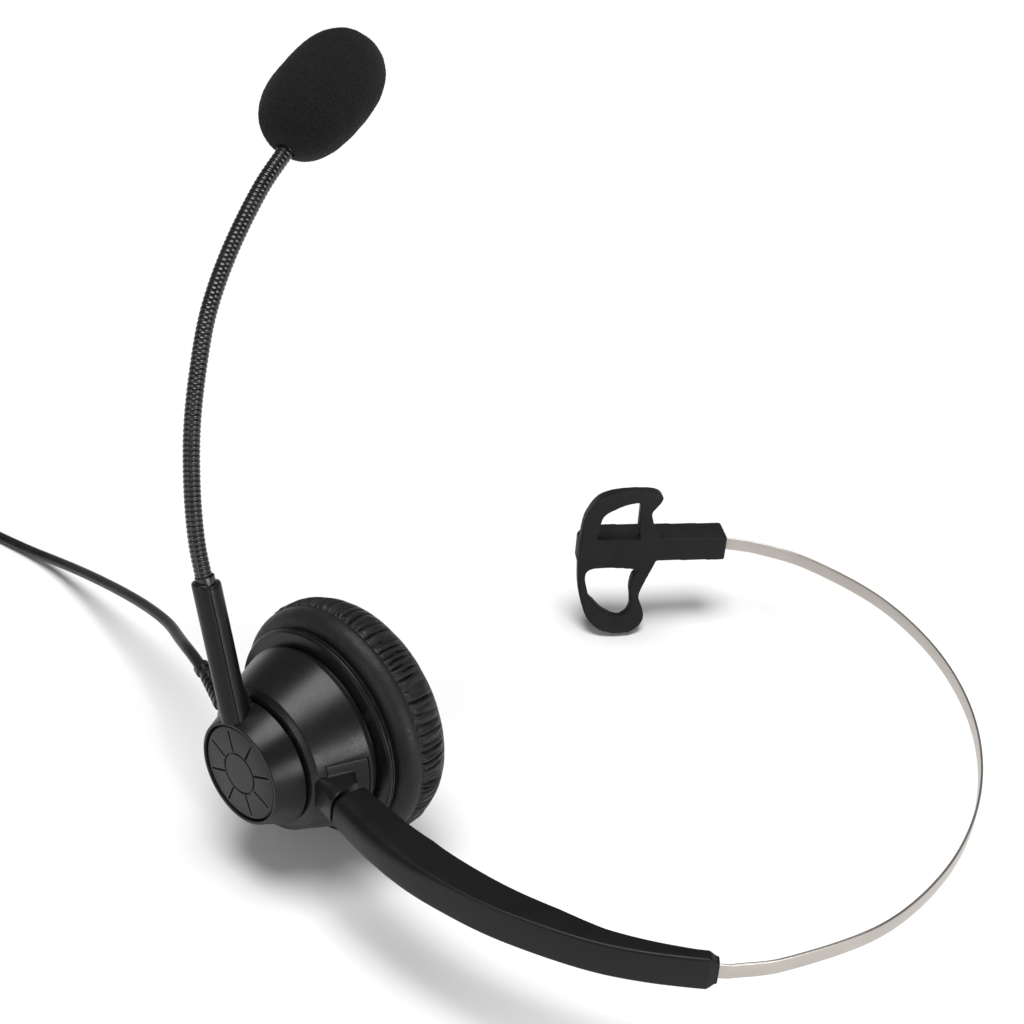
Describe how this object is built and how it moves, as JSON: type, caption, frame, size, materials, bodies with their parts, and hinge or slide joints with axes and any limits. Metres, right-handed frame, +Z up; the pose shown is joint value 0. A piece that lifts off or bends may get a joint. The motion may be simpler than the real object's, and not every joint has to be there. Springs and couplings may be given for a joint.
{
  "type": "office headset",
  "caption": "Single-ear corded telephone headset with a swivelling microphone boom, flexible gooseneck, steel headband and T-shaped temple pad, laid on its side.",
  "frame": {"origin": "middle of the footprint of the headset without its cord, at floor level", "axes": "+Z up; +Y from the headband's crown towards the cord, along the longest extent; +X from the ear cup towards the temple pad"},
  "size_m": [0.1817, 0.3365, 0.1717],
  "materials": {
    "shell_plastic": "satin black moulded plastic",
    "boom_plastic": "semi-gloss black moulded plastic",
    "arm_plastic": "fine matte black plastic",
    "leatherette": "soft black leatherette, gathered around the rim",
    "dark_foam": "fine open-cell black foam",
    "neck_rubber": "ribbed black rubber",
    "pad_rubber": "matte black soft rubber",
    "band_steel": "satin stainless spring steel",
    "fastener_steel": "plain steel",
    "driver_plastic": "dark grey plastic",
    "magnet_metal": "nickel plated",
    "cone_film": "thin film",
    "coil_copper": "enamelled copper wire",
    "board_green": "green lacquered board",
    "cord_jacket": "smooth black flexible jacket",
    "plug_clear": "clear moulded plastic",
    "contact_gold": "gold plated"
  },
  "bodies": {
    "ear_cup": {"speaker_housing": "shell_plastic", "arm_boss": "shell_plastic", "bezel_ring": "shell_plastic", "ear_cushion": "leatherette", "cushion_foam": "dark_foam", "strain_relief": "neck_rubber", "speaker_frame": "driver_plastic", "speaker_screen": "driver_plastic", "cushion_mount_ring": "driver_plastic", "hub_axle": "driver_plastic", "friction_ring": "fastener_steel", "tilt_pin": "fastener_steel", "speaker_magnet": "magnet_metal", "speaker_diaphragm": "cone_film", "voice_coil": "coil_copper", "terminal_board": "board_green", "cord": "cord_jacket", "cord_tail": "cord_jacket", "cord_coil": "cord_jacket", "cord_tie": "arm_plastic", "plug_boot": "neck_rubber", "plug_body": "plug_clear", "plug_latch": "plug_clear", "plug_contact_1": "contact_gold", "plug_contact_2": "contact_gold", "plug_contact_3": "contact_gold", "plug_contact_4": "contact_gold"},
    "boom": {"boom_hub": "boom_plastic", "hub_cap": "boom_plastic", "boom_tube_left": "boom_plastic", "boom_tube_right": "boom_plastic", "hub_screw": "fastener_steel", "hub_retainer": "fastener_steel", "gooseneck_lower": "neck_rubber"},
    "gooseneck_mid": {"gooseneck_middle": "neck_rubber"},
    "microphone": {"gooseneck_upper": "neck_rubber", "mic_carrier": "driver_plastic", "mic_capsule": "magnet_metal", "windscreen": "dark_foam"},
    "arm": {"arm_shell_outer": "arm_plastic", "arm_shell_inner": "arm_plastic", "arm_screw_1": "fastener_steel", "arm_screw_2": "fastener_steel", "band_spring": "fastener_steel"},
    "band": {"headband": "band_steel", "temple_pad": "pad_rubber", "temple_core": "driver_plastic"}
  },
  "joints": [
    {"name": "boom_swivel", "type": "hinge", "parent": "ear_cup", "child": "boom", "pos_m": [-0.08342, 0.0379, 0.03031], "axis": [0.9987, 0, -0.0506], "range_deg": [-60, 75]},
    {"name": "gooseneck_bend", "type": "hinge", "parent": "boom", "child": "gooseneck_mid", "pos_m": [-0.07829, 0.05801, 0.09589], "axis": [-0.0148, 0.9563, -0.292], "range_deg": [-30, 30]},
    {"name": "gooseneck_sweep", "type": "hinge", "parent": "gooseneck_mid", "child": "microphone", "pos_m": [-0.06218, 0.0679, 0.12747], "axis": [0.7837, -0.1703, -0.5974], "range_deg": [-30, 30]},
    {"name": "cup_tilt", "type": "hinge", "parent": "ear_cup", "child": "arm", "pos_m": [-0.07698, 0.0175, 0.02998], "axis": [0.0506, 0, 0.9987], "range_deg": [-5, 5]},
    {"name": "band_slide", "type": "hinge", "parent": "arm", "child": "band", "pos_m": [-0.00193, -0.0215, 0.02618], "axis": [0.0506, 0, 0.9987], "range_deg": [0, 11]}
  ]
}
